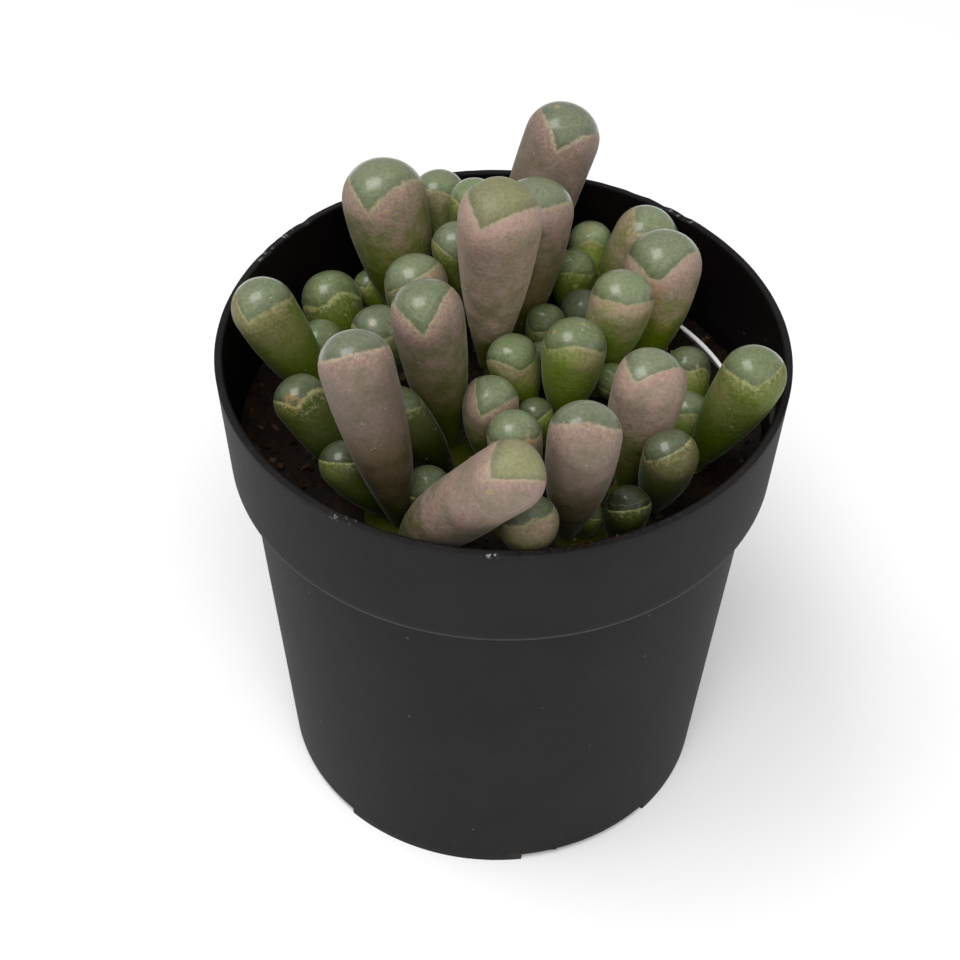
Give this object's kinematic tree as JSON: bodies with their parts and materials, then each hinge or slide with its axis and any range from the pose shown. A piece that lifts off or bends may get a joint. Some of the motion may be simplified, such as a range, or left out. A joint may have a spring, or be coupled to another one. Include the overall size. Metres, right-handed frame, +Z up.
{
  "type": "potted baby toes",
  "caption": "Clustered rosettes of club-shaped window leaves rising from potting mix in a tapered nursery pot with a stepped collar.",
  "frame": {"origin": "middle of the pot's underside, on the surface it stands on", "axes": "+Z up; -Y is the side seen from the front"},
  "size_m": [0.055, 0.055, 0.0677],
  "materials": {
    "pot_plastic": "moulded charcoal black, soft sheen, lightly scuffed",
    "soil": "dark crumbly peat mix, matt",
    "label_plastic": "plain white, blank",
    "leaf": "waxy satin skin, mauve over green, with a glossier sage window at each tip"
  },
  "bodies": {
    "root": {"pot": "pot_plastic", "soil": "soil", "plant_label": "label_plastic", "rosette_left": "leaf", "rosette_front_left": "leaf", "rosette_middle_left": "leaf", "rosette_middle": "leaf", "rosette_middle_back": "leaf", "rosette_back_right": "leaf", "rosette_right_back": "leaf", "rosette_front_right": "leaf", "rosette_right_front": "leaf", "rosette_front": "leaf", "rosette_right": "leaf", "rosette_back": "leaf", "rosette_back_left": "leaf"}
  },
  "joints": []
}
